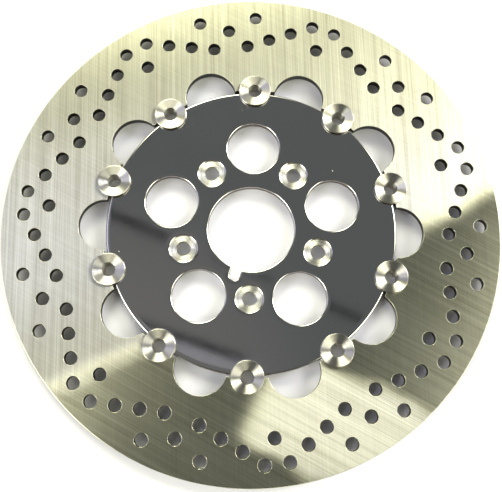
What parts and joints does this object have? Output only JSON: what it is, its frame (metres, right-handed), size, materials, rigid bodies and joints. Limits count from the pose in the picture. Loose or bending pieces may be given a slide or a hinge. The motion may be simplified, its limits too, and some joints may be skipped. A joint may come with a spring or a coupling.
{
  "type": "brake disc rotor",
  "caption": "Floating front motorcycle brake disc: drilled ground steel ring, held to a polished carrier by turned buttons with wave springs, washers and circlips.",
  "frame": {"origin": "on the bore's axis, in the plane that the buttons' ends rest on when the disc lies face up", "axes": "+Z along the bore's axis, out of the front face; one button is on +Y, and a window is on +X"},
  "size_m": [0.292, 0.292, 0.0113],
  "materials": {
    "brake_ring": "fine ground, crosshatched",
    "carrier": "dark mirror polish with soft-rolled edges",
    "button": "turned, with a dished face",
    "wave_spring": "oil-tempered spring steel",
    "washer": "zinc plated, satin",
    "circlip": "phosphated black"
  },
  "bodies": {
    "carrier_body": {"carrier": "carrier"},
    "ring_body": {"brake_ring": "brake_ring"},
    "button_set_01": {"button_01": "button", "wave_spring_01": "wave_spring", "washer_01": "washer", "circlip_01": "circlip"},
    "button_set_02": {"button_02": "button", "wave_spring_02": "wave_spring", "washer_02": "washer", "circlip_02": "circlip"},
    "button_set_03": {"button_03": "button", "wave_spring_03": "wave_spring", "washer_03": "washer", "circlip_03": "circlip"},
    "button_set_04": {"button_04": "button", "wave_spring_04": "wave_spring", "washer_04": "washer", "circlip_04": "circlip"},
    "button_set_05": {"button_05": "button", "wave_spring_05": "wave_spring", "washer_05": "washer", "circlip_05": "circlip"},
    "button_set_06": {"button_06": "button", "wave_spring_06": "wave_spring", "washer_06": "washer", "circlip_06": "circlip"},
    "button_set_07": {"button_07": "button", "wave_spring_07": "wave_spring", "washer_07": "washer", "circlip_07": "circlip"},
    "button_set_08": {"button_08": "button", "wave_spring_08": "wave_spring", "washer_08": "washer", "circlip_08": "circlip"},
    "button_set_09": {"button_09": "button", "wave_spring_09": "wave_spring", "washer_09": "washer", "circlip_09": "circlip"},
    "button_set_10": {"button_10": "button", "wave_spring_10": "wave_spring", "washer_10": "washer", "circlip_10": "circlip"}
  },
  "joints": [
    {"name": "ring_float", "type": "slide", "parent": "carrier_body", "child": "ring_body", "axis": [0, 0, 1], "range_m": [-0.0005, 0], "stiffness_N_per_m": 120000, "springref_m": 0.0003, "deforming": ["wave_spring_01", "wave_spring_02", "wave_spring_03", "wave_spring_04", "wave_spring_05", "wave_spring_06", "wave_spring_07", "wave_spring_08", "wave_spring_09", "wave_spring_10"]},
    {"name": "button_spin_01", "type": "hinge", "parent": "carrier_body", "child": "button_set_01", "pos_m": [0, 0.086, 0.005], "axis": [0, 0, 1], "continuous": true},
    {"name": "button_spin_02", "type": "hinge", "parent": "carrier_body", "child": "button_set_02", "pos_m": [-0.05055, 0.06957, 0.005], "axis": [0, 0, 1], "continuous": true},
    {"name": "button_spin_03", "type": "hinge", "parent": "carrier_body", "child": "button_set_03", "pos_m": [-0.08179, 0.02658, 0.005], "axis": [0, 0, 1], "continuous": true},
    {"name": "button_spin_04", "type": "hinge", "parent": "carrier_body", "child": "button_set_04", "pos_m": [-0.08179, -0.02658, 0.005], "axis": [0, 0, 1], "continuous": true},
    {"name": "button_spin_05", "type": "hinge", "parent": "carrier_body", "child": "button_set_05", "pos_m": [-0.05055, -0.06957, 0.005], "axis": [0, 0, 1], "continuous": true},
    {"name": "button_spin_06", "type": "hinge", "parent": "carrier_body", "child": "button_set_06", "pos_m": [0, -0.086, 0.005], "axis": [0, 0, 1], "continuous": true},
    {"name": "button_spin_07", "type": "hinge", "parent": "carrier_body", "child": "button_set_07", "pos_m": [0.05055, -0.06957, 0.005], "axis": [0, 0, 1], "continuous": true},
    {"name": "button_spin_08", "type": "hinge", "parent": "carrier_body", "child": "button_set_08", "pos_m": [0.08179, -0.02658, 0.005], "axis": [0, 0, 1], "continuous": true},
    {"name": "button_spin_09", "type": "hinge", "parent": "carrier_body", "child": "button_set_09", "pos_m": [0.08179, 0.02658, 0.005], "axis": [0, 0, 1], "continuous": true},
    {"name": "button_spin_10", "type": "hinge", "parent": "carrier_body", "child": "button_set_10", "pos_m": [0.05055, 0.06957, 0.005], "axis": [0, 0, 1], "continuous": true}
  ]
}
